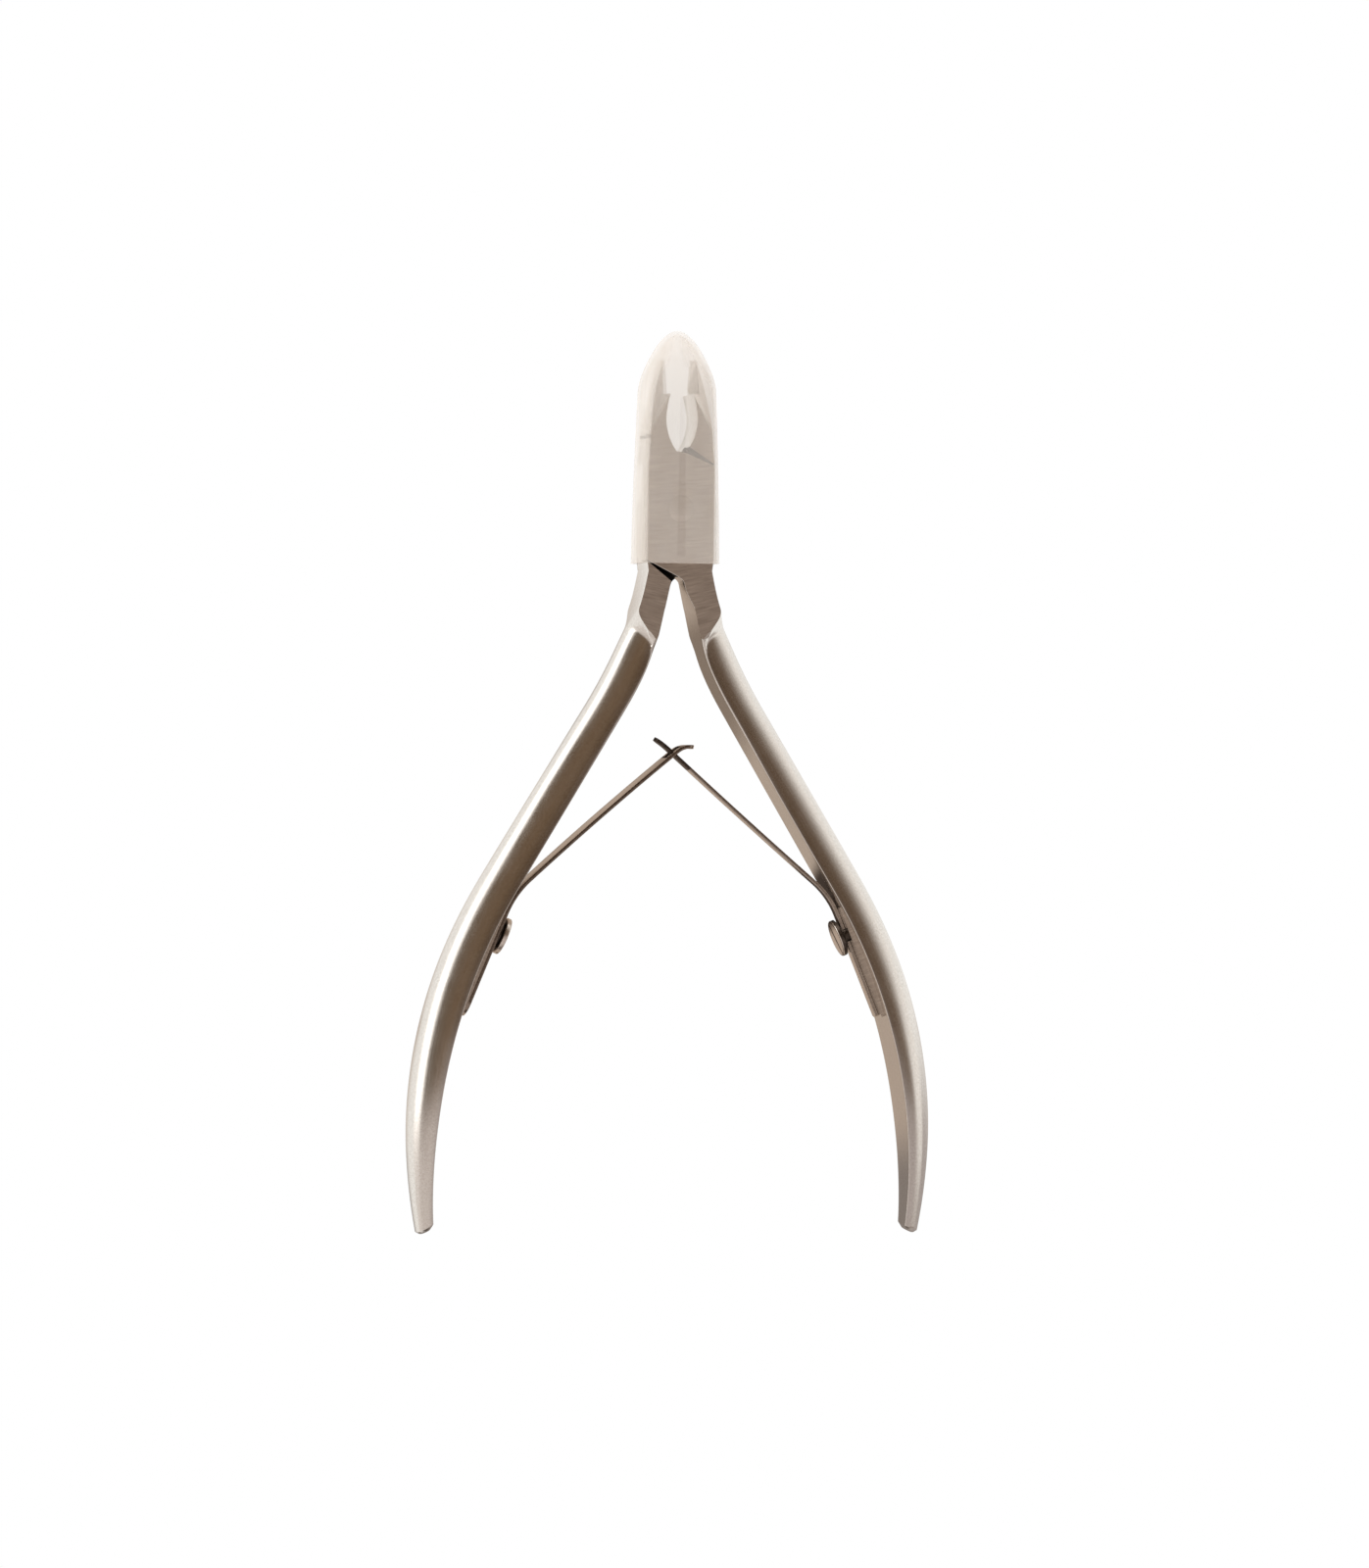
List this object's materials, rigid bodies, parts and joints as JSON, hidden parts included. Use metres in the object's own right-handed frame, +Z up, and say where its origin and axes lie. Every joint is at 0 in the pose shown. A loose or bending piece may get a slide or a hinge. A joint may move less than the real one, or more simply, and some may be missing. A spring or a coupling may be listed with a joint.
{
  "type": "cuticle nipper",
  "caption": "Lap-jointed steel cuticle nipper with crossed leaf springs between curved handles and a translucent guard over the jaws.",
  "frame": {"origin": "centre of the open tool's footprint, on the surface that it lies on", "axes": "+Y along the tool towards the jaws, +X to the side of the lever whose lap plate is on top, +Z up through the flat of the tool, along the pivot"},
  "size_m": [0.0656, 0.1104, 0.007],
  "materials": {
    "satin_steel": "satin, brushed along the handles and across the necks",
    "spring_steel": "rolled strip, slightly darkened",
    "screw_steel": "turned, satin",
    "frosted_vinyl": "translucent, milky, smooth"
  },
  "bodies": {
    "right_side": {"right_lever": "satin_steel", "pivot_rivet": "satin_steel", "right_spring_foot": "spring_steel", "right_spring_screw": "screw_steel"},
    "left_side": {"left_lever": "satin_steel", "left_spring_foot": "spring_steel", "left_spring_screw": "screw_steel"},
    "right_arm": {"right_spring_arm": "spring_steel"},
    "left_arm": {"left_spring_arm": "spring_steel"},
    "guard": {"jaw_cap": "frosted_vinyl"}
  },
  "joints": [
    {"name": "lever_pivot", "type": "hinge", "parent": "right_side", "child": "left_side", "pos_m": [0, 0.03332, 0.0035], "axis": [0, 0, 1], "range_deg": [0, 10], "stiffness_Nm_per_rad": 1.5, "springref_deg": -8.59},
    {"name": "left_spring_flex", "type": "hinge", "parent": "left_side", "child": "left_arm", "pos_m": [-0.01995, -0.01388, 0.0035], "axis": [0, 0, 1], "range_deg": [-0.5, 8]},
    {"name": "right_spring_flex", "type": "hinge", "parent": "right_side", "child": "right_arm", "pos_m": [0.01995, -0.01388, 0.0035], "axis": [0, 0, 1], "range_deg": [-8, 0.5]},
    {"name": "cap_pull", "type": "slide", "parent": "right_side", "child": "guard", "axis": [0, 1, 0], "range_m": [0, 0.03]}
  ],
  "couplings": [
    {"joint": "left_spring_flex", "follows": "lever_pivot", "ratio": 0.742},
    {"joint": "right_spring_flex", "follows": "lever_pivot", "ratio": -0.742}
  ]
}
